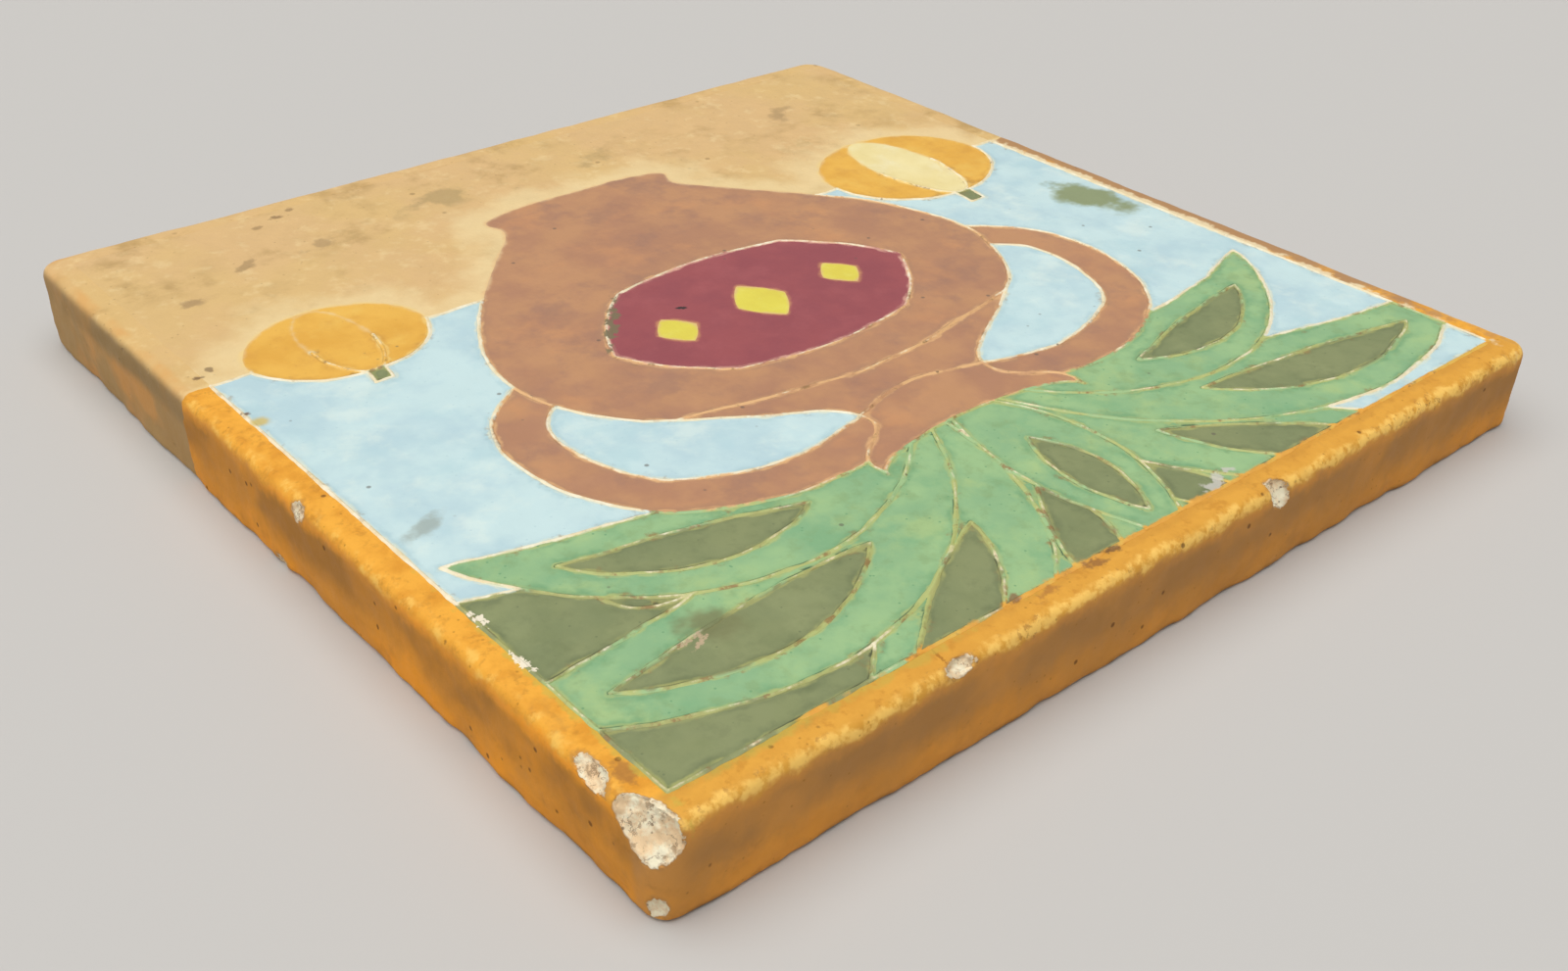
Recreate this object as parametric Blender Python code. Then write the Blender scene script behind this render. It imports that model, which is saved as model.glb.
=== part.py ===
"""Square glazed wall tile, lying face up.

The tile is one pressed and fired slab. Its face carries a picture in glazes of several colours,
which narrow raised lines of clay keep apart: a two-handled jar of leaves between two gourds.
The picture stands upright along +Y, the face looks along +Z, and the origin is under the middle
of the flat back.
"""
import math
import random

import bmesh
import bpy
from mathutils import Vector

# Slab, in metres
TILE_SIDE = 0.152
TILE_THICKNESS = 0.0127
UPRIGHT_CORNER_RADIUS = 0.0036
FACE_EDGE_RADIUS = 0.0025
BACK_EDGE_RADIUS = 0.0008

# Picture field and its raised lines
RIM_WIDTH = 0.0043
LINE_WIDTH = 0.0010
LINE_CREST = 0.0005
LINE_HEIGHT = 0.0003
LINE_ROOT = 0.0003
LINE_SMOOTHNESS = 0.00012
# Each line is its own height, and runs on a little past the corner where it meets another
LINE_UNEVENNESS = 0.00006
LINE_OVERRUN = 0.00028
LINE_SEED = 5

# Chips knocked out of the edges. Each has its place, in shares of half the side and of the thickness,
# the way it faces, its long direction, and its length, width and depth below its rim
CHIPS = {
    "corner_chip": ((0.984, 0.944, 0.858), (0.78, 0.44, 0.43), (0, -1, 0.6), (0.0089, 0.0076, 0.0007)),
    "corner_side_chip": ((0.988, 0.842, 0.937), (0.75, 0, 0.66), (0, 1, -0.3), (0.0056, 0.0031, 0.0006)),
    "corner_foot_chip": ((0.988, 0.977, 0.173), (0.76, 0.64, -0.2), (0, 0, 1), (0.0030, 0.0026, 0.0005)),
    "upper_edge_chip": ((0.485, 0.989, 0.937), (0, 0.75, 0.66), (1, 0, 0), (0.0034, 0.0022, 0.0005)),
    "upper_side_chip": ((-0.230, 0.992, 0.880), (0, 0.88, 0.48), (0.3, 0, 1), (0.0066, 0.0027, 0.0006)),
    "right_edge_chip": ((0.997, 0.082, 0.890), (1, 0, 0.4), (0, 0.3, 1), (0.0026, 0.0022, 0.0005)),
    "right_foot_chip": ((0.999, -0.007, 0.055), (0.8, 0, -0.6), (0, 1, 0), (0.0024, 0.0016, 0.0004)),
}
CHIP_ROUGHNESS = 0.12
CHIP_ROUNDNESS = 2.5
CHIP_SEED = 11

HALF_SIDE = TILE_SIDE / 2
FIELD_HALF = HALF_SIDE - RIM_WIDTH

# The picture is laid out in hundredths of half the field, from the middle of the field.
# Shapes are given from the farthest to the nearest, and each hides the lines of those behind it.
PICTURE_EDGE = 100
PAST_EDGE = 104
PICTURE_UNIT = FIELD_HALF / PICTURE_EDGE
HORIZON_HEIGHT = -34.5
HORIZON_SLOPE = -0.009
HORIZON_REACH = 0.2
JAR_PROFILE = ((0, -69), (14, -68.5), (23.5, -66), (23, -59), (34, -46), (52, -23), (58, 0),
               (49, 20), (31, 33), (18.5, 41), (16, 49), (24.5, 56.5), (25, 62))
MOUTH_RISE = 6
HANDLE_ROUTE = ((12, 49), (34, 53), (56, 46), (66, 30), (65, 12), (50, -2))
HANDLE_WIDTH = 9.5
PANEL_CORNERS = ((-37, 0), (-21, 18.5), (21, 18.5), (37, 0), (21, -20.5), (-21, -20.5))
PANEL_BOW = 0.07
NECK_RING = ((-17, 45), (0, 41), (17, 45))
SHOULDER_RING = ((-42, 26), (0, 33), (42, 26))
GOURDS = ((-72, -34, 22, 18.5), (74, -37, 18, 14.5))
GOURD_RIB_SHARE = 0.36
# The stalk's corners, in shares of the gourd's half-width and half-height
GOURD_STALK = ((-0.11, 1.0), (-0.07, 1.3), (0.12, 1.3), (0.09, 1.0))
SHADE_EDGE = ((38, PAST_EDGE), (45, 88), (58, 82), (66, 70), (80, 66), (86, 54), (PAST_EDGE, 47))
# Each leaf: where it starts, where it ends, how much it arches, and how wide it is
LEAVES = (((-3, 52), (-28, 121), -0.10, 23), ((4, 52), (33, 122), 0.11, 24),
          ((-5, 50), (-74, 117), -0.12, 25), ((6, 50), (80, 113), 0.13, 26),
          ((-6, 50), (-116, 80), -0.16, 26), ((7, 50), (114, 73), 0.17, 28),
          ((-8, 48), (-95, 43), -0.20, 23), ((8, 48), (97, 39), 0.19, 25),
          ((0, 48), (1, 106), 0.05, 21))
HEART_WIDTH = 0.42
HEART_START = 0.36
HEART_END = 0.84
LEAF_FULLNESS = 0.8
MIDRIB_STEPS = 48
RUN_STEP = 0.5
SHORTEST_RUN = 6


def smooth(points, steps=12):
    """Points along a smooth curve through the given ones."""
    first = [2 * a - b for a, b in zip(points[0], points[1])]
    last = [2 * a - b for a, b in zip(points[-1], points[-2])]
    through = [first, *points, last]
    curve = []
    for i in range(1, len(through) - 2):
        for k in range(steps):
            t = k / steps
            curve.append(tuple(
                0.5 * (2 * b + (c - a) * t + (2 * a - 5 * b + 4 * c - d) * t ** 2
                       + (3 * b - a - 3 * c + d) * t ** 3)
                for a, b, c, d in zip(*through[i - 1:i + 3])))
    curve.append(tuple(points[-1]))
    return curve


def arc(x, y, x_radius, y_radius, start, end, steps=36):
    """Points along an elliptical arc, with its angles in degrees."""
    angles = [math.radians(start + (end - start) * k / steps) for k in range(steps + 1)]
    return [(x + x_radius * math.cos(a), y + y_radius * math.sin(a)) for a in angles]


def bowed(start, end, bow, steps=24):
    """Points along a line from start to end that arches by bow times its length."""
    along = Vector(end) - Vector(start)
    across = Vector((-along.y, along.x))
    return [tuple(Vector(start) + along * t + across * 4 * bow * t * (1 - t))
            for t in (k / steps for k in range(steps + 1))]


def both_sides(middle, half_width):
    """The left and right edge of a band along a middle line, at the half-width of each point."""
    edges = ([], [])
    for i, point in enumerate(middle):
        before = Vector(middle[max(i - 1, 0)])
        after = Vector(middle[min(i + 1, len(middle) - 1)])
        along = (after - before).normalized()
        across = Vector((-along.y, along.x)) * half_width(i / (len(middle) - 1))
        edges[0].append(tuple(Vector(point) + across))
        edges[1].append(tuple(Vector(point) - across))
    return edges


def mirrored(points):
    """The points turned over left to right, in the opposite order."""
    return [(-x, y) for x, y in reversed(points)]


def leaf_strokes(middle, width):
    """The two edges of a pointed leaf around its midrib."""
    return both_sides(middle, lambda t: 0.5 * width * math.sin(math.pi * t) ** LEAF_FULLNESS)


def band_outline(edges):
    """The closed outline of a shape given as its two edges."""
    return edges[0] + edges[1][::-1]


def horizon(x):
    """Height of the line between the ground and the sky."""
    return HORIZON_HEIGHT + HORIZON_SLOPE * x


def gourd_shapes(x, y, x_radius, y_radius):
    """A ribbed gourd with its stalk: each shape is its outline and the lines that bound it."""
    stalk = [(x + across * x_radius, y + up * y_radius) for across, up in GOURD_STALK]
    body = arc(x, y, x_radius, y_radius, -90, 270, 48)
    rib = (arc(x, y, -GOURD_RIB_SHARE * x_radius, y_radius, -90, 90),
           arc(x, y, GOURD_RIB_SHARE * x_radius, y_radius, -90, 90))
    return [(stalk, [stalk[0:2], stalk[1:3], stalk[2:4]]), (body, [body]),
            (band_outline(rib), list(rib))]


def leaf_shapes(base, tip, bow, width):
    """A leaf and its darker heart."""
    midrib = bowed(base, tip, bow, MIDRIB_STEPS)
    leaf = leaf_strokes(midrib, width)
    inner = midrib[int(HEART_START * MIDRIB_STEPS):int(HEART_END * MIDRIB_STEPS) + 1]
    heart = leaf_strokes(inner, width * HEART_WIDTH)
    return [(band_outline(leaf), list(leaf)), (band_outline(heart), list(heart))]


def handle_shapes():
    """The two loop handles of the jar."""
    route = smooth(HANDLE_ROUTE)
    right = both_sides(route, lambda t: HANDLE_WIDTH / 2)
    left = tuple(mirrored(edge) for edge in right)
    return [(band_outline(edges), list(edges)) for edges in (right, left)]


def jar_shapes():
    """The jar's body up to its front lip, and the panel on its belly."""
    right = smooth(JAR_PROFILE)
    mouth_half, mouth_height = JAR_PROFILE[-1]
    lip = arc(0, mouth_height, mouth_half, MOUTH_RISE, 0, -180)
    left = mirrored(right)
    rings = [smooth(NECK_RING), smooth(SHOULDER_RING)]
    ends = PANEL_CORNERS[1:] + PANEL_CORNERS[:1]
    sides = [bowed(a, b, PANEL_BOW, 8) for a, b in zip(PANEL_CORNERS, ends)]
    panel = [point for side in sides for point in side]
    return [(right + lip + left, [right, lip, left] + rings), (panel, sides)]


def picture_shapes():
    """Every outlined shape of the picture, from the farthest to the nearest."""
    ground = [(-PAST_EDGE, horizon(-PAST_EDGE)), (PAST_EDGE, horizon(PAST_EDGE))]
    shapes = [(ground + [(PAST_EDGE, -PAST_EDGE), (-PAST_EDGE, -PAST_EDGE)], [ground])]
    for gourd in GOURDS:
        shapes += gourd_shapes(*gourd)
    shade = smooth(SHADE_EDGE)
    shapes.append((shade + [(PAST_EDGE, PAST_EDGE)], [shade]))
    mouth_half, mouth_height = JAR_PROFILE[-1]
    mouth = arc(0, mouth_height, mouth_half, MOUTH_RISE, 0, 360, 48)
    shapes.append((mouth, [mouth]))
    for leaf in LEAVES:
        shapes += leaf_shapes(*leaf)
    return shapes + handle_shapes() + jar_shapes()


def is_inside(point, outline):
    """Whether a point lies within a closed outline."""
    x, y = point
    inside = False
    for (x1, y1), (x2, y2) in zip(outline, outline[1:] + outline[:1]):
        if (y1 > y) != (y2 > y) and x < x1 + (x2 - x1) * (y - y1) / (y2 - y1):
            inside = not inside
    return inside


def fine_points(stroke):
    """The stroke with points close together."""
    points = [stroke[0]]
    for start, end in zip(stroke, stroke[1:]):
        along = Vector(end) - Vector(start)
        count = max(1, math.ceil(along.length / RUN_STEP))
        points += [tuple(Vector(start) + along * k / count) for k in range(1, count + 1)]
    return points


def is_lined(point):
    """Whether lines are raised at a point: on the field, and off the ground, where glazes just meet."""
    x, y = point
    return max(abs(x), abs(y)) < PICTURE_EDGE and y > horizon(x) - HORIZON_REACH


def overrun(stroke):
    """The stroke made a little longer at both ends."""
    reach = LINE_OVERRUN / PICTURE_UNIT
    first, second, before_last, last = (Vector(stroke[i]) for i in (0, 1, -2, -1))
    start = first + (first - second).normalized() * reach
    end = last + (last - before_last).normalized() * reach
    return [tuple(start), *stroke, tuple(end)]


def shown_runs(stroke, nearer):
    """The runs of a stroke where lines are raised and no nearer shape hides it."""
    runs = []
    run = []
    before = None
    for point in fine_points(overrun(stroke)):
        if is_lined(point) and not any(is_inside(point, outline) for outline in nearer):
            if not run and before:
                run.append(before)
            run.append(point)
        elif run:
            runs.append(run + [point])
            run = []
        before = point
    if len(run) > 1:
        runs.append(run)
    return [run for run in runs if len(run) >= SHORTEST_RUN]


def simplified(points, tolerance):
    """The fewest points that keep a run within the tolerance."""
    if len(points) < 3:
        return points
    start = Vector(points[0])
    along = Vector(points[-1]) - start
    distances = []
    for point in points:
        offset = Vector(point) - start
        if along.length > tolerance:
            offset = offset - along * (offset.dot(along) / along.length_squared)
        distances.append(offset.length)
    farthest = max(range(len(points)), key=distances.__getitem__)
    if distances[farthest] < tolerance:
        return [points[0], points[-1]]
    left = simplified(points[:farthest + 1], tolerance)
    return left[:-1] + simplified(points[farthest:], tolerance)


def new_collection(name):
    """A collection of the scene."""
    collection = bpy.data.collections.new(name)
    bpy.context.scene.collection.children.link(collection)
    return collection


def add_object(name, data, collection):
    """An object for the data, in a collection."""
    item = bpy.data.objects.new(name, data)
    collection.objects.link(item)
    return item


def as_cutter(item):
    """Marks a tool or a shape to be joined, which isn't a piece of the tile."""
    item.hide_render = True
    item.display_type = "WIRE"
    return item


def edges_between(shape, low, high, upright):
    """Edges whose ends both lie between two heights, either the upright ones or the level ones."""
    chosen = []
    for edge in shape.edges:
        heights = [corner.co.z for corner in edge.verts]
        is_upright = abs(heights[0] - heights[1]) > TILE_THICKNESS / 2
        if is_upright == upright and min(heights) >= low and max(heights) <= high:
            chosen.append(edge)
    return chosen


def round_edges(shape, edges, radius, segments):
    """Rounds the given edges."""
    bmesh.ops.bevel(shape, geom=edges, offset=radius, offset_type="OFFSET", segments=segments,
                    profile=0.5, affect="EDGES", material=-1, clamp_overlap=True)


def make_slab(collection, material):
    """The pressed slab: round upright corners, a softly rounded face edge and a flat back."""
    shape = bmesh.new()
    bmesh.ops.create_cube(shape, size=1)
    bmesh.ops.scale(shape, verts=shape.verts, vec=(TILE_SIDE, TILE_SIDE, TILE_THICKNESS))
    bmesh.ops.translate(shape, verts=shape.verts, vec=(0, 0, TILE_THICKNESS / 2))
    middle = TILE_THICKNESS / 2
    round_edges(shape, edges_between(shape, -1, 1, True), UPRIGHT_CORNER_RADIUS, 6)
    round_edges(shape, edges_between(shape, middle, 1, False), FACE_EDGE_RADIUS, 5)
    round_edges(shape, edges_between(shape, -1, BACK_EDGE_RADIUS / 2, False), BACK_EDGE_RADIUS, 2)
    mesh = bpy.data.meshes.new("tile")
    shape.to_mesh(mesh)
    shape.free()
    mesh.materials.append(material)
    return add_object("tile", mesh, collection)


def line_section(collection):
    """The section of a raised line: a low ridge with sloping sides, and a root in the slab."""
    curve = bpy.data.curves.new("line_section", "CURVE")
    curve.dimensions = "2D"
    spline = curve.splines.new("POLY")
    corners = ((-LINE_WIDTH / 2, -LINE_ROOT), (LINE_WIDTH / 2, -LINE_ROOT),
               (LINE_CREST / 2, LINE_HEIGHT), (-LINE_CREST / 2, LINE_HEIGHT))
    spline.points.add(len(corners) - 1)
    for point, (x, y) in zip(spline.points, corners):
        point.co = (x, y, 0, 1)
    spline.use_cyclic_u = True
    return as_cutter(add_object("line_section", curve, collection))


def make_line(name, run, lowering, section, collection):
    """One raised line, swept along its run on the face and set a little lower than the highest."""
    points = simplified(run, LINE_SMOOTHNESS / PICTURE_UNIT)
    height = TILE_THICKNESS - lowering
    curve = bpy.data.curves.new(name, "CURVE")
    curve.dimensions = "3D"
    curve.twist_mode = "Z_UP"
    curve.bevel_mode = "OBJECT"
    curve.bevel_object = section
    curve.use_fill_caps = True
    spline = curve.splines.new("POLY")
    spline.points.add(len(points) - 1)
    for point, (x, y) in zip(spline.points, points):
        point.co = (x * PICTURE_UNIT, y * PICTURE_UNIT, height, 1)
    swept = add_object(name + "_route", curve, collection)
    bpy.context.view_layer.update()
    graph = bpy.context.evaluated_depsgraph_get()
    mesh = bpy.data.meshes.new_from_object(swept.evaluated_get(graph))
    shape = bmesh.new()
    shape.from_mesh(mesh)
    bmesh.ops.remove_doubles(shape, verts=shape.verts, dist=0.00001)
    bmesh.ops.recalc_face_normals(shape, faces=shape.faces)
    shape.to_mesh(mesh)
    shape.free()
    line = add_object(name, mesh, collection)
    line.matrix_world = swept.matrix_world
    bpy.data.objects.remove(swept)
    return as_cutter(line)


def border_runs():
    """The straight lines between the picture and the rim, which stop at the ground."""
    edge = PICTURE_EDGE
    corners = [(-edge, horizon(-edge)), (-edge, edge), (edge, edge), (edge, horizon(edge))]
    return [overrun(corners[i:i + 2]) for i in range(3)]


def picture_runs():
    """All the lines of the picture, where nothing nearer hides them."""
    shapes = picture_shapes()
    runs = border_runs()
    for i, (_, strokes) in enumerate(shapes):
        nearer = [outline for outline, _ in shapes[i + 1:]]
        for stroke in strokes:
            runs += shown_runs(stroke, nearer)
    return runs


def make_lines():
    """All the raised lines, ready to be joined to the slab."""
    luck = random.Random(LINE_SEED)
    lines = new_collection("raised_lines")
    section = line_section(lines)
    for i, run in enumerate(picture_runs()):
        lowering = luck.uniform(0, LINE_UNEVENNESS) if i else 0
        make_line("line_%03d" % i, run, lowering, section, lines)
    bpy.data.objects.remove(section)
    return lines


def make_chip(name, place, outward, along, size, luck, collection):
    """A chip's rough hollow: a jagged flattened ball that bites into the surface at a place."""
    length, width, bite = size
    # The ball stands proud by most of its depth, so that it takes off all that lies outside
    half_depth = CHIP_ROUNDNESS * bite
    spread = 1 / math.sqrt(1 - (1 - bite / half_depth) ** 2)
    up = Vector(outward).normalized()
    side = up.cross(Vector(along)).normalized()
    forward = side.cross(up)
    spot = Vector((place[0] * HALF_SIDE, place[1] * HALF_SIDE, place[2] * TILE_THICKNESS))
    centre = spot + up * (half_depth - bite)
    shape = bmesh.new()
    bmesh.ops.create_icosphere(shape, subdivisions=2, radius=1)
    for corner in shape.verts:
        reach = 1 + luck.uniform(-CHIP_ROUGHNESS, CHIP_ROUGHNESS)
        corner.co = centre + (forward * (corner.co.x * spread * length / 2)
                              + side * (corner.co.y * spread * width / 2)
                              + up * (corner.co.z * half_depth)) * reach
    mesh = bpy.data.meshes.new(name)
    shape.to_mesh(mesh)
    shape.free()
    return as_cutter(add_object(name, mesh, collection))


def make_chips():
    """All the chips, ready to be cut out of the slab."""
    luck = random.Random(CHIP_SEED)
    chips = new_collection("chips")
    for name, (place, outward, along, size) in CHIPS.items():
        make_chip(name, place, outward, along, size, luck, chips)
    return chips


def add_joined(item, name, operation, tools):
    """Joins an object with everything in a collection, or cuts it with that."""
    modifier = item.modifiers.new(name, "BOOLEAN")
    modifier.operation = operation
    modifier.solver = "EXACT"
    modifier.operand_type = "COLLECTION"
    modifier.collection = tools


def make_glaze():
    """Satin amber glaze, the colour of the rim."""
    glaze = bpy.data.materials.new("amber_glaze")
    glaze.use_nodes = True
    shader = glaze.node_tree.nodes["Principled BSDF"]
    shader.inputs["Base Color"].default_value = (0.84, 0.38, 0.05, 1)
    shader.inputs["Roughness"].default_value = 0.35
    shader.inputs["Metallic"].default_value = 0
    return glaze


def make_tile():
    """The whole tile."""
    tile = make_slab(new_collection("ceramic_tile"), make_glaze())
    add_joined(tile, "raised_lines", "UNION", make_lines())
    add_joined(tile, "chips", "DIFFERENCE", make_chips())
    return tile


for old in list(bpy.data.objects):
    bpy.data.objects.remove(old)
make_tile()
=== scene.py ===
import math

import bmesh
import bpy
import numpy as np
from mathutils import Matrix, Vector, noise
from mathutils.geometry import delaunay_2d_cdt
from mathutils.kdtree import KDTree


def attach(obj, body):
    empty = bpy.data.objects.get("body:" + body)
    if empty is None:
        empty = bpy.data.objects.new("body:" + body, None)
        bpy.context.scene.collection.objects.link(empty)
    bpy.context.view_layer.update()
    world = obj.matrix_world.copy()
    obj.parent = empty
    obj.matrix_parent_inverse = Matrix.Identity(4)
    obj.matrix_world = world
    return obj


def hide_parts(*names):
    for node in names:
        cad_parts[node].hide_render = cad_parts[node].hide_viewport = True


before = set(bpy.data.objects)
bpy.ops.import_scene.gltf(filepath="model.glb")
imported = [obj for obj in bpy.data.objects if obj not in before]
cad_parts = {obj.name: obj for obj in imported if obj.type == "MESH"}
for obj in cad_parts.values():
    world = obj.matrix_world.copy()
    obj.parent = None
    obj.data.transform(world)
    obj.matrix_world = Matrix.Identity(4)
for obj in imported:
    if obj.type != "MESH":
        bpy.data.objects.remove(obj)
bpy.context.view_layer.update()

# The slab. One square of buff clay, pressed, dried and fired, that lies on its flat back. Amber glaze
# coats its rim and sides beside the picture's sky, and sand-coloured glaze those beside its ground.
# The back and the chips show bare clay.

HALF_SIDE = 0.076
FACE_HEIGHT = 0.0127
CORNER_RADII = (0.0036, 0.0032, 0.0028, 0.0043)
FACE_EDGE_RADIUS = 0.0025
EDGE_TIGHTNESS = 0.62
FOOT_RADIUS = 0.0008
RIM_WIDTH = 0.0043
FIELD_HALF = HALF_SIDE - RIM_WIDTH
PICTURE_UNIT = FIELD_HALF / 100
HORIZON_HEIGHT = -34.5
HORIZON_SLOPE = -0.009
GLAZE_THICKNESS = 0.00009
BED_HEIGHT = FACE_HEIGHT - 0.0003
WAVINESS = 0.0002
CHIP_ROUGHNESS = 0.00024

# Each chip: its place in shares of half the side and of the thickness, the way it faces, its long
# direction, and its length, width and depth
CHIPS = (((0.984, 0.949, 0.820), (0.78, 0.44, 0.43), (0, -1, 0.5), (0.0074, 0.0063, 0.0008)),
         ((0.988, 0.850, 0.937), (0.75, 0, 0.66), (0, 1, -0.3), (0.0045, 0.0026, 0.0005)),
         ((0.988, 0.977, 0.173), (0.76, 0.64, -0.2), (0, 0, 1), (0.0026, 0.0021, 0.0004)),
         ((0.485, 0.989, 0.937), (0, 0.75, 0.66), (1, 0, 0), (0.0034, 0.0022, 0.0005)),
         ((-0.230, 0.992, 0.880), (0, 0.88, 0.48), (0.3, 0, 1), (0.0066, 0.0027, 0.0006)),
         ((0.997, 0.082, 0.890), (1, 0, 0.4), (0, 0.3, 1), (0.0030, 0.0026, 0.0005)),
         ((0.999, -0.007, 0.075), (0.9, 0, -0.4), (0, 1, 0), (0.0028, 0.0020, 0.0004)))
CHIP_ROUNDNESS = 2.5
OUTSIDE_CHIPS = -0.002

# Where the slab is divided finely: the side, counted from the lower one round to the left one, and
# the stretch along it
CHIPPED = ((1, 0.060, 0.076), (1, -0.002, 0.009), (2, -0.076, -0.064), (2, -0.041, -0.033), (2, 0.011, 0.023))
COARSE_STEP = 0.00075
FINE_STEP = 0.00028
SHARP_ANGLE = 50
FLAW_DEPTH = 0.003

# Pinholes that burst bubbles left in the amber glaze: spacing, radius, the share that is there, and seed
PITS = (0.003, 0.00042, 0.3, 2)


def glaze_height(x, y):
    """Height of the glazed face, which is a little uneven."""
    wave = noise.noise((x * 160, y * 160, 1)) + 0.4 * noise.noise((x * 420, y * 420, 2))
    return FACE_HEIGHT + GLAZE_THICKNESS + 0.00003 * wave


def slab_stations():
    """Where the slab's outline is divided: side, and share of the way along it or angle round its corner."""
    stations = []
    for side in range(4):
        along = -HALF_SIDE
        while along < HALF_SIDE - FINE_STEP:
            stations.append((side, along / HALF_SIDE, 0))
            chipped = any(side == s and low < along < high for s, low, high in CHIPPED)
            along += FINE_STEP if chipped else COARSE_STEP
        count = 18 if side == 1 else 9
        stations += [(side, 1, math.pi / 2 * k / count) for k in range(count)]
    return stations


def outline_point(station, inset):
    """Place on the slab's outline at a station, for an outline that lies inset from the edge."""
    side, share, angle = station
    start, end = (min(HALF_SIDE - CORNER_RADII[k % 4], HALF_SIDE - inset) for k in (side - 1, side))
    radius = HALF_SIDE - inset - end
    point = Vector(((start + end) * (share + 1) / 2 - start + radius * math.sin(angle),
                    -end - radius * math.cos(angle)))
    point.rotate(Matrix.Rotation(side * math.pi / 2, 2))
    return point


def slab_profile():
    """The slab's section from the field to the back: inset, height, and distance down from the field."""
    flat = RIM_WIDTH - FACE_EDGE_RADIUS
    top = FACE_HEIGHT + GLAZE_THICKNESS
    low = top - FACE_EDGE_RADIUS
    section = [(RIM_WIDTH, BED_HEIGHT)] + [(RIM_WIDTH - flat * k / 5, top) for k in range(5)]
    for angle in np.linspace(0, math.pi / 2, 15)[:-1]:
        section.append((FACE_EDGE_RADIUS * (1 - math.sin(angle) ** EDGE_TIGHTNESS),
                        top - FACE_EDGE_RADIUS * (1 - math.cos(angle) ** EDGE_TIGHTNESS)))
    section += [(0, low - (low - FOOT_RADIUS) * k / 26) for k in range(26)]
    for angle in np.linspace(0, math.pi / 2, 5):
        section.append((FOOT_RADIUS * (1 - math.cos(angle)), FOOT_RADIUS * (1 - math.sin(angle))))
    steps = np.linalg.norm(np.diff(section[1:], axis=0), axis=1)
    return [(*point, down) for point, down in zip(section, [0, 0, *np.cumsum(steps)])]


def chip_depths(points):
    """For each point, how deep the chips bite there and how far it lies within a chip's edge, in metres."""
    depths = np.zeros(len(points))
    within = np.full(len(points), OUTSIDE_CHIPS)
    ways = np.zeros((len(points), 3))
    for place, outward, along, (length, width, bite) in CHIPS:
        half_depth = CHIP_ROUNDNESS * bite
        spread = 1 / math.sqrt(1 - (1 - bite / half_depth) ** 2)
        up = Vector(outward).normalized()
        side = up.cross(Vector(along)).normalized()
        forward = side.cross(up)
        spot = Vector((place[0] * HALF_SIDE, place[1] * HALF_SIDE, place[2] * FACE_HEIGHT))
        offset = points - np.array(spot + up * (half_depth - bite))
        reach = np.array((spread * length / 2, spread * width / 2, half_depth))
        q = offset @ np.array((forward, side, up)).T / reach
        size = np.linalg.norm(q, axis=1)
        for i in np.flatnonzero(size < 1.6):
            way = Vector(q[i])
            edge = 1 + 0.14 * noise.noise(way * 1.6 + spot * 900) + 0.09 * noise.noise(way * 5)
            edge += 0.035 * noise.noise(way * 11)
            gap = (edge - size[i]) * width / 2
            within[i] = max(within[i], gap)
            if gap > 0:
                rest = math.sqrt(max(edge ** 2 - q[i][0] ** 2 - q[i][1] ** 2, 0))
                rough = noise.fractal(Vector(points[i]) * 900, 0.55, 2.2, 5)
                depth = half_depth * (q[i][2] + rest) + CHIP_ROUGHNESS * rough
                if depth > depths[i]:
                    depths[i] = depth
                    ways[i] = up
    return depths, within, ways


def make_slab():
    """The slab: a sheet wrapped round it from the bed of the picture to the edge of the back, then closed."""
    stations = slab_stations()
    rows = slab_profile()
    slab = bmesh.new()
    bmesh.ops.create_grid(slab, x_segments=len(stations), y_segments=len(rows) - 1, size=1)
    down = slab.verts.layers.float.new("down")
    chip = slab.verts.layers.float.new("chip")
    for vert in slab.verts:
        i = round((vert.co.x + 1) / 2 * len(stations)) % len(stations)
        inset, height, vert[down] = rows[round((vert.co.y + 1) / 2 * (len(rows) - 1))]
        x, y = outline_point(stations[i], inset)
        around = Vector((x, y, height)) * 90
        wave = 0.6 + noise.noise(around) + 0.7 * noise.noise(around * 2.7) + 0.25 * noise.noise(around * 7)
        side = min(1, max(0, (vert[down] - 0.001) / 0.003))
        foot = 1 + 1.5 * max(0, 1 - height / 0.004)
        x, y = outline_point(stations[i], inset + WAVINESS * max(0, wave) * side * foot)
        if vert[down] > 0 and height > FACE_HEIGHT - FACE_EDGE_RADIUS:
            height += glaze_height(x, y) - FACE_HEIGHT - GLAZE_THICKNESS
            height -= 0.00005 * max(0, wave) * min(1, vert[down] / 0.001)
        vert.co = (x, y, height)
    places = np.array([vert.co for vert in slab.verts])
    for vert, depth, within, way in zip(slab.verts, *chip_depths(places)):
        vert.co -= Vector(way) * depth
        vert[chip] = within
    bmesh.ops.remove_doubles(slab, verts=slab.verts, dist=0.000001)
    bmesh.ops.holes_fill(slab, edges=slab.edges, sides=0)
    bmesh.ops.recalc_face_normals(slab, faces=slab.faces)
    return slab


def new_object(name, shape, material):
    """An object of one shape and one material."""
    mesh = bpy.data.meshes.new(name)
    shape.to_mesh(mesh)
    shape.free()
    mesh.materials.append(material)
    made = bpy.data.objects.new(name, mesh)
    bpy.context.scene.collection.objects.link(made)
    return made


def new_piece(name, shape, material):
    """A piece of the tile, smooth but for its sharp edges, that rides on the tile."""
    piece = new_object(name, shape, material)
    piece.data.shade_smooth()
    piece.data.set_sharp_from_angle(angle=math.radians(SHARP_ANGLE))
    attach(piece, "root")
    return piece


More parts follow.
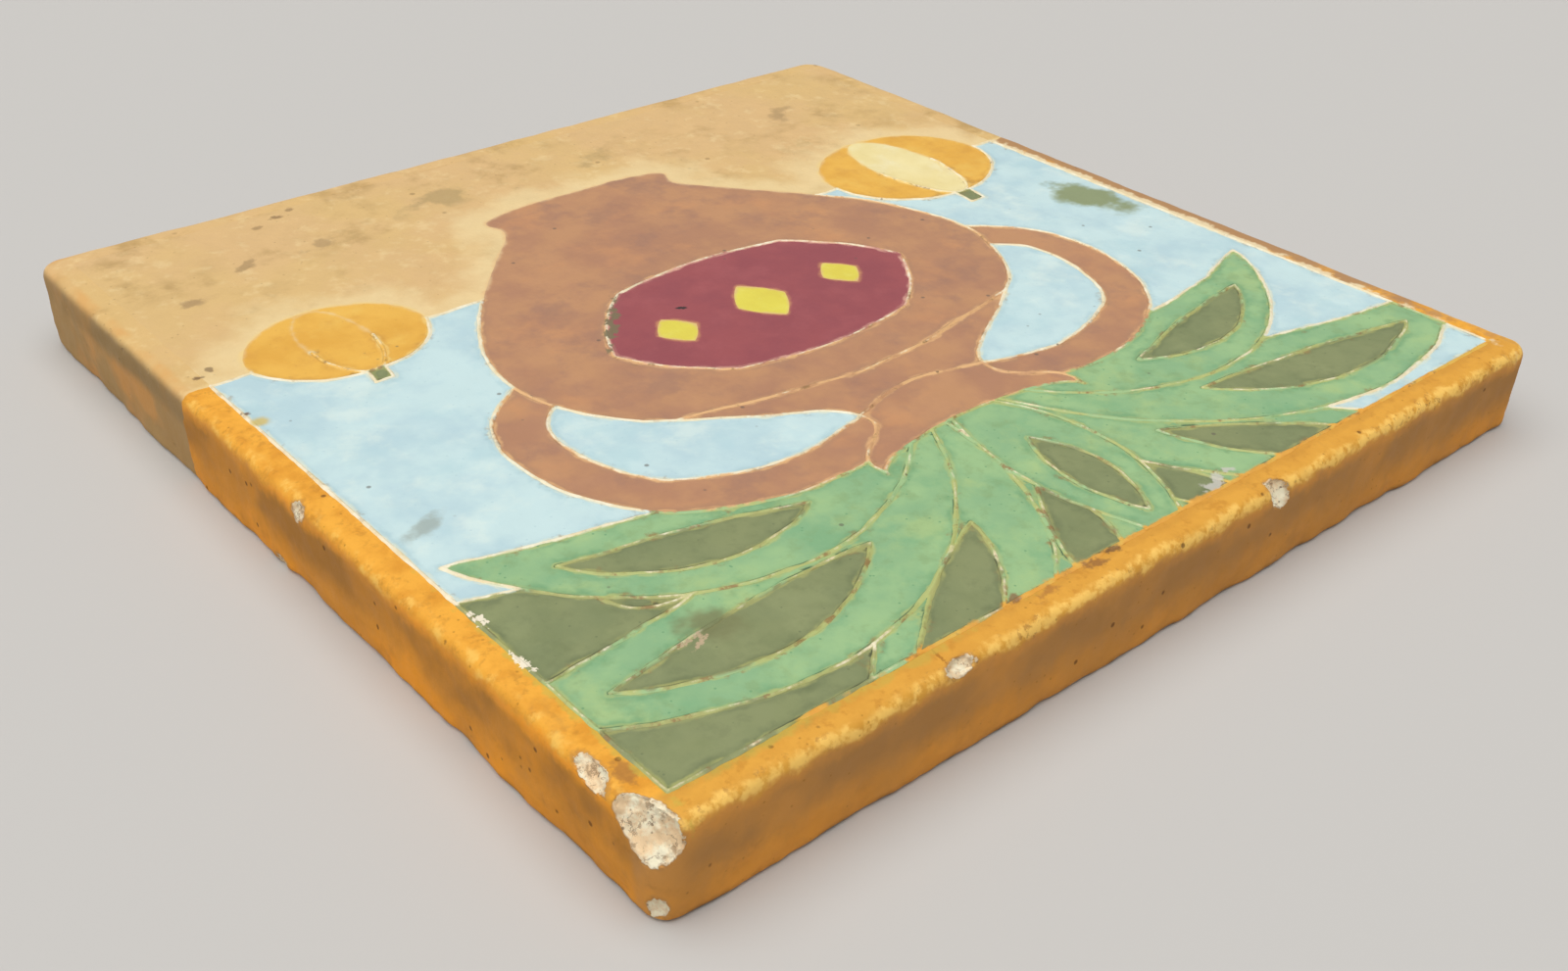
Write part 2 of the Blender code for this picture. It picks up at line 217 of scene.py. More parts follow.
class Mix:
    """A clay, glaze or paint: its material, its shader, and nodes whose patterns follow the tile."""

    def __init__(self, name, roughness):
        self.material = bpy.data.materials.new(name)
        self.material.use_nodes = True
        self.shader = self.material.node_tree.nodes["Principled BSDF"]
        self.give("Roughness", roughness)
        self.place = self.node("TexCoord", {}).outputs["Object"]

    def give(self, name, value):
        """Sets one of the shader's own values."""
        self.fill(self.shader.inputs[name], value)

    def fill(self, socket, value):
        """Gives a socket a number, a colour, a place or what another node puts out."""
        if isinstance(value, bpy.types.NodeSocket):
            self.material.node_tree.links.new(value, socket)
        elif socket.type == "RGBA":
            socket.default_value = (*value, 1)
        else:
            socket.default_value = value

    def node(self, kind, inputs, **settings):
        """A new node with its settings made and some of its inputs filled."""
        node = self.material.node_tree.nodes.new("ShaderNode" + kind)
        for name, setting in settings.items():
            setattr(node, name, setting)
        for name, value in inputs.items():
            self.fill(node.inputs[name], value)
        return node

    def join(self, operation, first, second=0):
        """Two numbers put together, or one changed, in one of the Math node's ways."""
        return self.node("Math", {0: first, 1: second}, operation=operation).outputs["Value"]

    def plus(self, first, *others):
        """Numbers added up."""
        for other in others:
            first = self.join("ADD", first, other)
        return first

    def times(self, first, *others):
        """Numbers multiplied."""
        for other in others:
            first = self.join("MULTIPLY", first, other)
        return first

    def rise(self, value, low, high, bottom=0, top=1):
        """Bottom where the value is below low, top where it is above high, and smooth between."""
        inputs = {"Value": value, "From Min": low, "From Max": high, "To Min": bottom, "To Max": top}
        return self.node("MapRange", inputs, interpolation_type="SMOOTHSTEP").outputs["Result"]

    def cloud(self, size, seed, detail=3, roughness=0.55):
        """Soft patches of about the given size, from 0 to 1."""
        inputs = {"Vector": self.place, "W": seed, "Scale": 1 / size, "Detail": detail,
                  "Roughness": roughness}
        return self.node("TexNoise", inputs, noise_dimensions="4D").outputs["Fac"]

    def stray(self, far, *patches, low=0.3):
        """A number that wanders between far below and far above zero."""
        return self.rise(self.cloud(*patches), low, 1 - low, -far, far)

    def specks(self, spacing, radius, share, seed):
        """Small round spots: about one in each spacing, of up to the radius, and only a share of them."""
        shift = (seed * 0.37, seed * 0.11, seed * 0.23)
        place = self.node("VectorMath", {0: self.place, 1: shift}).outputs["Vector"]
        spots = self.node("TexVoronoi", {"Vector": place, "Scale": 1 / spacing})
        chance = self.node("SeparateColor", {"Color": spots.outputs["Color"]}).outputs["Red"]
        near = self.rise(spots.outputs["Distance"], radius / spacing * 0.5, radius / spacing, 1, 0)
        return self.times(near, self.rise(chance, 1 - share, 1.02 - share))

    def blend(self, share, first, second):
        """The first colour with a share of the second."""
        return self.node("Mix", {"Factor": share, 6: first, 7: second}, data_type="RGBA").outputs[2]

    def spotted(self, colour, *specks, strength, shade):
        """The colour with specks of another shade."""
        return self.blend(self.times(self.specks(*specks), strength), colour, shade)

    def measured(self, name, output="Fac"):
        """A number, or a colour, that the piece's own mesh holds."""
        return self.node("Attribute", {}, attribute_name=name).outputs[output]

    def bump(self, height, depth, distance=0.0001):
        """Fine relief on top of the piece's own."""
        inputs = {"Strength": depth, "Distance": distance, "Height": height}
        self.give("Normal", self.node("Bump", inputs).outputs["Normal"])


def sand_colour(mix):
    """Mottled sand-coloured glaze with olive-brown smudges, pale flecks and dark specks."""
    base = mix.blend(mix.rise(mix.cloud(0.02, 1, 4), 0.4, 0.62), (0.75, 0.50, 0.232), (0.745, 0.508, 0.213))
    base = mix.blend(mix.rise(mix.cloud(0.0028, 3, 4, 0.6), 0.52, 0.7, 0, 0.4), base, (0.92, 0.72, 0.38))
    broad = mix.rise(mix.cloud(0.015, 2), 0.42, 0.62, 0.1, 1)
    smudge = mix.rise(mix.cloud(0.0052, 28, 4, 0.62), 0.44, 0.7, 0, 0.7)
    base = mix.blend(mix.times(broad, smudge), base, (0.47, 0.30, 0.11))
    base = mix.spotted(base, 0.0052, 0.0006, 0.14, 1, strength=0.5, shade=(0.26, 0.15, 0.06))
    return mix.spotted(base, 0.0013, 0.00022, 0.3, 3, strength=0.35, shade=(0.30, 0.18, 0.08))


def amber_colour(mix, down, upper):
    """Amber glaze: orange on the rim's flat, yellower on its crest where it breaks thin, with a painted
    highlight there, then a brown band of painted shade, then orange to the foot.

    The upper side of the tile has a duller flat, a brighter painted highlight on its crest a little lower
    down, and a side greyed by a painted sheen.
    """
    wander = mix.stray(0.0006, 0.005, 4, low=0.25)
    ragged = mix.stray(0.00025, 0.0009, 35, low=0.25)
    level = mix.plus(down, mix.times(upper, -0.0003), wander, ragged)
    mottling = mix.rise(mix.cloud(0.0036, 5, 5, 0.62), 0.4, 0.66)
    flat = mix.blend(mottling, (0.92, 0.445, 0.058), (0.77, 0.335, 0.038))
    flat = mix.blend(mix.times(upper, 0.65), flat, (0.72, 0.375, 0.065))
    flat = mix.blend(mix.rise(mix.cloud(0.0017, 38, 5, 0.65), 0.52, 0.66, 0, 0.55), flat, (0.58, 0.25, 0.035))
    inner = mix.times(mix.rise(level, 0.0002, 0.0016, 0.5, 0), upper)
    flat = mix.blend(inner, flat, (0.60, 0.29, 0.05))
    # The crest is painted lighter: partly the glaze breaking thin over the edge, partly a painted highlight,
    # beaded on the upper side.
    crest = mix.times(mix.rise(level, 0.0026, 0.0036), mix.rise(level, 0.0044, 0.0052, 1, 0))
    flecks = mix.rise(mix.cloud(0.0030, 6, 5, 0.65), 0.49, 0.62, 0, 0.75)
    beads = mix.times(mix.rise(mix.cloud(0.0016, 39, 4, 0.6), 0.40, 0.56), upper)
    glaze_break_and_highlight = mix.blend(upper, (0.97, 0.59, 0.13), (1, 0.62, 0.15))
    colour = mix.blend(mix.times(crest, mix.join("MAXIMUM", flecks, beads)), flat, glaze_break_and_highlight)
    side = mix.blend(mix.rise(mix.cloud(0.018, 7, 4), 0.4, 0.62), (0.73, 0.31, 0.045), (0.97, 0.385, 0.034))
    side = mix.blend(mix.rise(mix.cloud(0.004, 32, 5, 0.6), 0.5, 0.7, 0, 0.35), side, (0.50, 0.21, 0.035))
    # A brown band of painted shade below the rounded edge, broken into soft patches.
    painted_shade_band = mix.times(mix.rise(level, 0.0050, 0.0068), mix.rise(level, 0.0086, 0.0138, 1, 0))
    painted_shade_band = mix.times(painted_shade_band, mix.rise(mix.cloud(0.011, 17, 3, 0.5), 0.38, 0.6, 0.35, 0.9))
    side = mix.blend(painted_shade_band, side, (0.41, 0.19, 0.042))
    # On the upper side, the lower part of the side is greyed by a painted sheen.
    painted_grey_sheen = mix.times(upper, mix.rise(level, 0.0090, 0.0130, 0.5, 0.34))
    side = mix.blend(painted_grey_sheen, side, (0.50, 0.27, 0.105))
    colour = mix.blend(mix.rise(level, 0.0042, 0.0054), colour, side)
    band = mix.times(mix.rise(level, 0.0022, 0.0032), mix.rise(level, 0.0046, 0.0058, 1, 0))
    grains = mix.rise(mix.cloud(0.0010, 42, 4, 0.7), 0.54, 0.62, 0, mix.rise(upper, 0, 1, 0.2, 0.65))
    grains = mix.times(band, grains, mix.rise(mix.cloud(0.007, 43), 0.44, 0.58))
    colour = mix.blend(grains, colour, (0.42, 0.19, 0.045))
    stain = mix.rise(mix.cloud(0.006, 8, 5, 0.7), 0.6, 0.78, 0, 0.5)
    colour = mix.blend(stain, colour, (0.30, 0.13, 0.03))
    colour = mix.spotted(colour, *PITS, strength=0.75, shade=(0.15, 0.06, 0.015))
    colour = mix.spotted(colour, 0.0012, 0.0002, 0.35, 6, strength=0.5, shade=(0.36, 0.15, 0.02))
    # Darker in patches along the foot.
    foot_darkening = mix.times(mix.rise(down, 0.0150, 0.0162), mix.rise(mix.cloud(0.004, 18), 0.45, 0.6), 0.6)
    return mix.blend(foot_darkening, colour, (0.16, 0.08, 0.03))


def clay_colour(mix, edge):
    """Bare buff clay, broken rough, darker in small pits and along crack-like veins, and soiled along its
    edges.
    """
    base = mix.blend(mix.rise(mix.cloud(0.0024, 9, 5, 0.7), 0.4, 0.6), (0.90, 0.67, 0.41), (1, 0.93, 0.70))
    dark_pits = mix.rise(mix.cloud(0.0013, 10, 5, 0.72), 0.56, 0.62, 0, 0.7)
    base = mix.blend(dark_pits, base, (0.42, 0.28, 0.16))
    vein = mix.join("ABSOLUTE", mix.plus(mix.cloud(0.0016, 33, 4, 0.6), -0.5))
    cracks = mix.times(mix.rise(vein, 0.006, 0.02, 1, 0), mix.rise(mix.cloud(0.002, 34), 0.45, 0.6), 0.75)
    base = mix.blend(cracks, base, (0.32, 0.21, 0.13))
    soiled = mix.rise(mix.cloud(0.002, 37), 0.4, 0.6, 0.1, 0.7)
    soiled = mix.times(mix.rise(edge, 0.00005, 0.0003, 1, 0), soiled)
    base = mix.blend(soiled, base, (0.50, 0.30, 0.15))
    return mix.spotted(base, 0.0009, 0.0002, 0.35, 7, strength=0.7, shade=(0.18, 0.11, 0.06))


def back_colour(mix):
    """Bare buff clay of the back, smooth from the press, with soft clouds, scuffs and a few dark grains."""
    clouds = mix.rise(mix.cloud(0.035, 44, 4, 0.6), 0.36, 0.64)
    base = mix.blend(clouds, (0.80, 0.60, 0.39), (0.68, 0.47, 0.28))
    scuffs = mix.rise(mix.cloud(0.011, 45, 6, 0.66), 0.52, 0.68, 0, 0.55)
    base = mix.blend(scuffs, base, (0.52, 0.36, 0.22))
    grain = mix.rise(mix.cloud(0.0014, 46, 4, 0.7), 0.48, 0.62, 0, 0.3)
    base = mix.blend(grain, base, (0.88, 0.72, 0.50))
    return mix.spotted(base, 0.0045, 0.0004, 0.3, 8, strength=0.6, shade=(0.25, 0.16, 0.10))


# Stains, scars and bare bits, and one strip of painted shade: place on the face, length and width,
# turn in degrees, colour, strength, raggedness, softness, and the glazes that each lies on
ON_RIM = ("rim",)
ON_SAND = ("sand",)
ON_LEAVES = ("leaf", "olive", "line")
ON_BORDER = (*ON_LEAVES, "rim")
FLAWS_AND_PAINTED_SHADE = (
    ((0.0535, 0.0535), (0.0105, 0.0075), 10, (0.20, 0.21, 0.09), 0.85, 0.7, 0.8, ON_LEAVES),
    ((0.0557, 0.0562), (0.0030, 0.0006), 25, (0.56, 0.42, 0.27), 0.85, 0.6, 0.3, ON_LEAVES),
    ((0.0566, 0.0553), (0.0026, 0.0005), 10, (0.56, 0.42, 0.27), 0.8, 0.7, 0.3, ON_LEAVES),
    ((0.0551, 0.0552), (0.0006, 0.0016), -20, (0.56, 0.42, 0.27), 0.8, 0.7, 0.3, ON_LEAVES),
    ((0.0105, -0.0058), (0.0019, 0.0008), -35, (0.035, 0.025, 0.025), 1, 0.4, 0.4, ("panel",)),
    ((-0.0668, 0.0028), (0.0092, 0.0150), 8, (0.25, 0.29, 0.11), 0.9, 0.5, 0.5, ("sky",)),
    ((0.0672, 0.0200), (0.0090, 0.0030), 25, (0.30, 0.33, 0.27), 0.6, 0.5, 0.8, ("sky",)),
    ((0.0212, -0.0078), (0.0130, 0.0015), 52, (0.20, 0.17, 0.09), 0.9, 0.9, 0.4, ("panel", "jar", "line")),
    ((-0.0121, 0.0703), (0.0060, 0.0018), 15, (0.62, 0.60, 0.54), 0.8, 0.9, 0.5, ON_BORDER),
    ((-0.0060, 0.0725), (0.1000, 0.0025), 0, (0.80, 0.395, 0.06), 0.95, 0.45, 0.45, ON_LEAVES),
    ((0.0205, 0.0726), (0.0056, 0.0015), 8, (0.42, 0.18, 0.05), 0.65, 0.8, 0.7, ("rim", "line")),
    ((0.0246, 0.0716), (0.0026, 0.0018), 0, (0.26, 0.12, 0.05), 0.8, 0.7, 0.5, ("rim", "line", "leaf")),
    ((0.0130, 0.0725), (0.0034, 0.0014), -10, (0.30, 0.14, 0.05), 0.75, 0.8, 0.6, ("rim", "line")),
    ((0.0092, 0.0718), (0.0026, 0.0013), 0, (0.20, 0.11, 0.05), 0.8, 0.7, 0.5, ("rim", "line", "leaf")),
    ((0.0380, 0.0732), (0.0030, 0.0004), 83, (0.46, 0.19, 0.03), 0.9, 0.5, 0.5, ON_RIM),
    ((0.0738, 0.0560), (0.0040, 0.0110), 0, (0.42, 0.20, 0.06), 0.6, 0.9, 0.9, ON_RIM),
    ((0.0733, 0.0672), (0.0018, 0.0034), 0, (0.40, 0.18, 0.05), 0.7, 0.9, 0.8, ON_RIM),
    ((0.0712, -0.0160), (0.0016, 0.0012), 0, (0.16, 0.06, 0.02), 0.9, 0.5, 0.4, ("rim", "line", "sky")),
    ((0.0709, -0.0131), (0.0032, 0.0024), 0, (0.66, 0.52, 0.16), 0.9, 0.3, 0.8, ("sky", "line")),
    ((0.0720, 0.0540), (0.0012, 0.0400), 0, (0.60, 0.47, 0.08), 0.6, 0.8, 0.9, ON_RIM),
    ((0.0500, 0.0721), (0.0460, 0.0018), 0, (0.60, 0.45, 0.08), 0.55, 0.8, 0.9, ON_RIM),
    ((0.0610, 0.0720), (0.0140, 0.0016), 0, (0.45, 0.38, 0.08), 0.5, 0.7, 0.9, ON_RIM),
    # A strip of painted shade along the rim at the x = -0.076 edge, where its rounding turns away.
    ((-0.0740, 0.0120), (0.0050, 0.1140), 0, (0.43, 0.25, 0.13), 0.9, 0.3, 0.4, ON_RIM),
    ((-0.0722, 0.0120), (0.0020, 0.1100), 0, (0.86, 0.72, 0.46), 0.9, 0.5, 0.5, ON_RIM),
    ((0.0713, 0.0385), (0.0012, 0.0024), 0, (0.92, 0.84, 0.66), 1, 0.8, 0.2, ON_BORDER),
    ((0.0716, 0.0473), (0.0012, 0.0034), 0, (0.92, 0.84, 0.66), 1, 0.8, 0.2, ON_BORDER),
    ((0.0410, -0.0691), (0.0022, 0.0017), 0, (0.27, 0.16, 0.07), 0.75, 0.6, 0.6, ON_SAND),
    ((0.0380, -0.0708), (0.0016, 0.0013), 0, (0.27, 0.16, 0.07), 0.6, 0.6, 0.6, ON_SAND),
    ((0.0450, -0.0675), (0.0018, 0.0014), 0, (0.27, 0.16, 0.07), 0.55, 0.6, 0.6, ON_SAND),
    ((0.0721, -0.0283), (0.0013, 0.0011), 0, (0.20, 0.12, 0.06), 0.85, 0.5, 0.5, ON_SAND),
    ((0.0700, -0.0296), (0.0011, 0.0013), 0, (0.20, 0.12, 0.06), 0.7, 0.5, 0.5, ON_SAND),
    ((0.0520, -0.0562), (0.0050, 0.0018), 40, (0.34, 0.22, 0.10), 0.6, 0.8, 0.8, ON_SAND),
    ((0.0400, -0.0560), (0.0060, 0.0030), 20, (0.38, 0.25, 0.12), 0.55, 0.9, 0.8, ON_SAND),
    ((0.0636, -0.0494), (0.0030, 0.0022), 0, (0.32, 0.20, 0.10), 0.6, 0.8, 0.8, ON_SAND),
    ((-0.0504, -0.0565), (0.0070, 0.0040), 30, (0.39, 0.26, 0.12), 0.6, 0.9, 0.8, ON_SAND),
    ((-0.0120, -0.0600), (0.0120, 0.0060), 20, (0.40, 0.29, 0.13), 0.55, 1.0, 0.9, ON_SAND),
    ((0.0160, -0.0610), (0.0140, 0.0050), 10, (0.40, 0.29, 0.13), 0.6, 1.0, 0.9, ON_SAND),
)


def marked(mix, colour, glaze):
    """The colour of a glaze with the flaws, and the strip of painted shade, that lie on it."""
    for number, (spot, (length, width), turn, shade, strength, ragged, soft, glazes) in enumerate(FLAWS_AND_PAINTED_SHADE):
        if glaze in glazes:
            patch = mix.node("Mapping", {"Vector": mix.place, "Location": (*spot, FACE_HEIGHT),
                                         "Rotation": (0, 0, math.radians(turn)),
                                         "Scale": (length / 2, width / 2, FLAW_DEPTH)}, vector_type="TEXTURE")
            reach = mix.node("VectorMath", {0: patch.outputs["Vector"]}, operation="LENGTH").outputs["Value"]
            grain = min(length, width) * (0.6 + 0.8 * soft)
            wander = mix.stray(ragged, grain, 80 + number, 4, 0.6)
            amount = mix.rise(mix.plus(reach, wander), 1 - soft, 1 + soft * 0.3, strength, 0)
            colour = mix.blend(amount, colour, shade)
    return colour


def slab_material():
    """Bare clay, coated with amber glaze above the horizon and sand-coloured glaze below it."""
    mix = Mix("glazed_clay", 0.4)
    down = mix.measured("down")
    across, up, _ = mix.node("SeparateXYZ", {"Vector": mix.place}).outputs
    wander = mix.stray(0.0003, 0.002, 11)
    level = mix.plus(up, mix.times(across, -HORIZON_SLOPE), wander)
    skyline = HORIZON_HEIGHT * PICTURE_UNIT
    sand = marked(mix, sand_colour(mix), "sand")
    crest = mix.times(mix.rise(down, 0.0018, 0.0030), mix.rise(across, 0.069, 0.074))
    crest = mix.times(crest, mix.rise(mix.cloud(0.007, 27), 0.4, 0.6, 0.1, 0.7))
    sand = mix.blend(crest, sand, (0.74, 0.40, 0.13))
    # Painted shade: on the sides the sand glaze takes darker colours than on the face; the warm patches are
    # the glaze's own.
    warm = mix.times(mix.rise(mix.cloud(0.013, 29), 0.44, 0.58), mix.rise(up, -0.072, -0.065))
    side = mix.blend(warm, (0.42, 0.26, 0.105), (0.60, 0.30, 0.095))
    # A band of painted shadow just under the rounded edge, in soft patches.
    dark = mix.times(mix.rise(down, 0.0068, 0.0092, 1, 0), mix.rise(mix.cloud(0.016, 36), 0.36, 0.56, 0.3, 1))
    side = mix.blend(dark, side, (0.31, 0.20, 0.085))
    sand = mix.blend(mix.rise(down, 0.0036, 0.0050, 0, 0.9), sand, side)
    halo = mix.times(mix.rise(level, skyline - 0.0012, skyline, 0, 0.6), mix.rise(down, 0.0030, 0.0050, 1, 0))
    sand = mix.blend(halo, sand, (0.88, 0.68, 0.34))
    amber = marked(mix, amber_colour(mix, down, mix.rise(up, 0.0710, 0.0722)), "rim")
    glaze = mix.blend(mix.rise(level, skyline - 0.00012, skyline + 0.00012), sand, amber)
    edge = mix.plus(mix.measured("chip"), mix.stray(0.00012, 0.0007, 12))
    glaze = mix.blend(mix.times(mix.rise(edge, -0.00035, -0.00005), 0.5), glaze, (0.50, 0.25, 0.08))
    ragged = mix.stray(0.0003, 0.0015, 13)
    foot = mix.rise(mix.plus(down, ragged), 0.0163, 0.0165)
    nicks = mix.times(mix.specks(0.006, 0.0008, 0.5, 4), mix.rise(down, 0.0143, 0.0151))
    bare = mix.join("MAXIMUM", mix.rise(edge, -0.00003, 0.00003), mix.join("MAXIMUM", foot, nicks))
    clay = mix.blend(mix.rise(down, 0.0160, 0.0166), clay_colour(mix, edge), back_colour(mix))
    mix.give("Base Color", mix.blend(bare, glaze, clay))
    satin = mix.rise(mix.cloud(0.0028, 14), 0.3, 0.7, 0.38, 0.58)
    satin = mix.plus(satin, mix.rise(down, 0.0040, 0.0060, 0, 0.2))
    mix.give("Roughness", mix.rise(bare, 0, 1, satin, 0.95))
    mix.give("Specular IOR Level", 0.12)
    ripple = mix.times(mix.cloud(0.006, 31, 2), 1.4)
    broken = mix.times(mix.cloud(0.0009, 25, 6, 0.7), mix.rise(bare, 0, 1, 0, 4))
    pits = mix.times(mix.specks(*PITS), -1.5)
    relief = mix.plus(mix.cloud(0.0006, 15), mix.cloud(0.0021, 16, 2), ripple, broken, pits)
    mix.bump(relief, 0.5, 0.00014)
    return mix.material


slab = new_piece("clay_slab", make_slab(), slab_material())
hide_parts("tile")

# The raised lines. Narrow ridges of clay stand on the slab's face between the picture's glazes. They
# were left bare, so they show cream, but glaze and dirt have crept over them in places.

FIELD_EDGE = 100
PAST_EDGE = 104
JAR_PROFILE = ((0, -69), (14, -68.5), (23.5, -66), (23, -59), (34, -46), (52, -23), (58, 0),
               (49, 20), (31, 33), (18.5, 41), (16, 49), (24.5, 56.5), (25, 62))
MOUTH_RISE = 6
HANDLE_ROUTE = ((12, 49), (34, 53), (56, 46), (66, 30), (65, 12), (50, -2))
HANDLE_WIDTH = 9.5
PANEL_CORNERS = ((-37, 0), (-21, 18.5), (21, 18.5), (37, 0), (21, -20.5), (-21, -20.5))
PANEL_BOW = 0.07
LOZENGES = ((0, -1, 6, 8), (-21, -1, 4.5, 5.5), (21, -1, 4.5, 5.5))
LOZENGE_BOW = 0.06
NECK_RING = ((-17, 45), (0, 41), (17, 45))
SHOULDER_RING = ((-42, 26), (0, 33), (42, 26))
GOURDS = ((-72, -34, 22, 18.5, "pale"), (74, -37, 18, 14.5, "gourd"))
GOURD_RIB_SHARE = 0.36
GOURD_STALK = ((-0.11, 1.0), (-0.07, 1.3), (0.12, 1.3), (0.09, 1.0))
SHADE_EDGE = ((38, PAST_EDGE), (45, 88), (58, 82), (66, 70), (80, 66), (86, 54), (PAST_EDGE, 47))
LEAVES = (((-3, 52), (-28, 121), -0.10, 23), ((4, 52), (33, 122), 0.11, 24),
          ((-5, 50), (-74, 117), -0.12, 25), ((6, 50), (80, 113), 0.13, 26),
          ((-6, 50), (-116, 80), -0.16, 26), ((7, 50), (114, 73), 0.17, 28),
          ((-8, 48), (-95, 43), -0.20, 23), ((8, 48), (97, 39), 0.19, 25),
          ((0, 48), (1, 106), 0.05, 21))
HEART_WIDTH = 0.42
HEART_START = 0.36
HEART_END = 0.84
LEAF_STEPS = 48
HAND_SWINGS = ((10, 0.5), (3, 0.2), (1.2, 0.09))
STROKE_STEP = 0.2
SHADED_CORNER = (0.05, 0.0405)
LINE_HALF_WIDTH = 0.00029
LINE_RISE = 0.00017
LINE_STEP = 0.00055
GRID_STEP = 0.0007
GRID_CLEARANCE = 0.0003
FINE_REACH = 0.002
BORDER_STEP = 0.0008
RIM_STRIP = 0.0009
BED_OVERLAP = 0.00002
BESIDE_REACH = 0.0011
AMBER_CREEP_DEPTH = 0.0007

# Each glaze: its light, dark and pooled colour, its colour where it thins out over the clay, and how
# much clay it leaves bare on the lines
GLAZES = {
    "sky": ((0.61, 0.80, 0.82), (0.51, 0.70, 0.76), (0.42, 0.62, 0.68), (0.78, 0.80, 0.62), 0.70),
    "leaf": ((0.35, 0.56, 0.27), (0.27, 0.48, 0.25), (0.15, 0.35, 0.17), (0.48, 0.53, 0.19), 0.44),
    "olive": ((0.26, 0.295, 0.135), (0.22, 0.26, 0.12), (0.14, 0.175, 0.08), (0.42, 0.43, 0.15), 0.42),
    "jar": ((0.56, 0.29, 0.145), (0.47, 0.235, 0.135), (0.44, 0.24, 0.14), (0.80, 0.48, 0.22), 0.40),
    "panel": ((0.36, 0.085, 0.095), (0.32, 0.075, 0.09), (0.34, 0.085, 0.10), (0.76, 0.42, 0.32), 0.60),
    "lozenge": ((0.80, 0.71, 0.09), (0.76, 0.64, 0.08), (0.75, 0.55, 0.10), (0.80, 0.42, 0.16), 0.6),
    "gourd": ((0.88, 0.50, 0.08), (0.80, 0.42, 0.055), (0.66, 0.33, 0.05), (0.92, 0.66, 0.22), 0.48),
    "pale": ((0.93, 0.81, 0.42), (0.88, 0.74, 0.34), (0.84, 0.66, 0.28), (0.93, 0.80, 0.44), 0.5),
    "ground": ((0.80, 0.57, 0.30), (0.66, 0.45, 0.20), (0.66, 0.45, 0.20), (0.86, 0.66, 0.36), 0.66),
    "rim": ((0.83, 0.38, 0.045), (0.70, 0.27, 0.025), (0.70, 0.27, 0.025), (0.80, 0.50, 0.09), 0.36),
}


def smooth(points, steps=12):
    """Points along a smooth curve through the given ones."""
    points = [np.array(point, float) for point in points]
    through = [2 * points[0] - points[1], *points, 2 * points[-1] - points[-2]]
    curve = []
    for a, b, c, d in zip(through, through[1:], through[2:], through[3:]):
        for t in np.arange(steps) / steps:
            curve.append(0.5 * (2 * b + (c - a) * t + (2 * a - 5 * b + 4 * c - d) * t ** 2
                                + (3 * b - a - 3 * c + d) * t ** 3))
    return np.array(curve + [points[-1]])


def arc(x, y, x_radius, y_radius, start, end, steps=36):
    """Points along an elliptical arc, with its angles in degrees."""
    angles = np.radians(np.linspace(start, end, steps + 1))
    return np.column_stack((x + x_radius * np.cos(angles), y + y_radius * np.sin(angles)))


def bowed(start, end, bow, steps=24):
    """Points along a line from start to end that arches by bow times its length."""
    t = np.linspace(0, 1, steps + 1)[:, None]
    along = np.subtract(end, start)
    return start + along * t + np.array((-along[1], along[0])) * 4 * bow * t * (1 - t)


def both_sides(middle, half_widths):
    """The left and right edge of a band along a middle line."""
    along = np.vstack((middle[1:], middle[-1:])) - np.vstack((middle[:1], middle[:-1]))
    along /= np.linalg.norm(along, axis=1)[:, None]
    across = np.column_stack((-along[:, 1], along[:, 0])) * np.reshape(half_widths, (-1, 1))
    return middle + across, middle - across


def leaf_edges(middle, width):
    """The two edges of a pointed leaf around its midrib."""
    return both_sides(middle, 0.5 * width * np.sin(np.linspace(0, math.pi, len(middle))).clip(0) ** 0.8)


def band(edges):
    """The closed outline of a shape given as its two edges."""
    return np.vstack((edges[0], edges[1][::-1]))


def fine_points(stroke, step=STROKE_STEP):
    """The stroke with points close together."""
    lengths = np.r_[0, np.cumsum(np.linalg.norm(np.diff(stroke, axis=0), axis=1))]
    at = np.linspace(0, lengths[-1], max(2, math.ceil(lengths[-1] / step)))
    return np.column_stack((np.interp(at, lengths, stroke[:, 0]), np.interp(at, lengths, stroke[:, 1])))


def horizon(x):
    """Height of the line between the ground and the sky."""
    return HORIZON_HEIGHT + HORIZON_SLOPE * x


def gourd_shapes(x, y, x_radius, y_radius, rib_glaze):
    """A ribbed gourd with its stalk."""
    stalk = np.array([(x + across * x_radius, y + up * y_radius) for across, up in GOURD_STALK])
    sides = [fine_points(stalk[i:i + 2], 0.5) for i in range(3)]
    body = arc(x, y, x_radius, y_radius, -90, 270, 48)
    rib = [arc(x, y, share * GOURD_RIB_SHARE * x_radius, y_radius, -90, 90) for share in (-1, 1)]
    return [("olive", np.vstack(sides), sides), ("gourd", body, [body]),
            (rib_glaze, band(rib), rib)]


def leaf_shapes(base, tip, bow, width):
    """A leaf and its darker heart."""
    midrib = bowed(base, tip, bow, LEAF_STEPS)
    leaf = leaf_edges(midrib, width)
    heart_midrib = midrib[int(HEART_START * LEAF_STEPS):int(HEART_END * LEAF_STEPS) + 1]
    heart = leaf_edges(heart_midrib, width * HEART_WIDTH)
    return [("leaf", band(leaf), leaf), ("olive", band(heart), heart)]


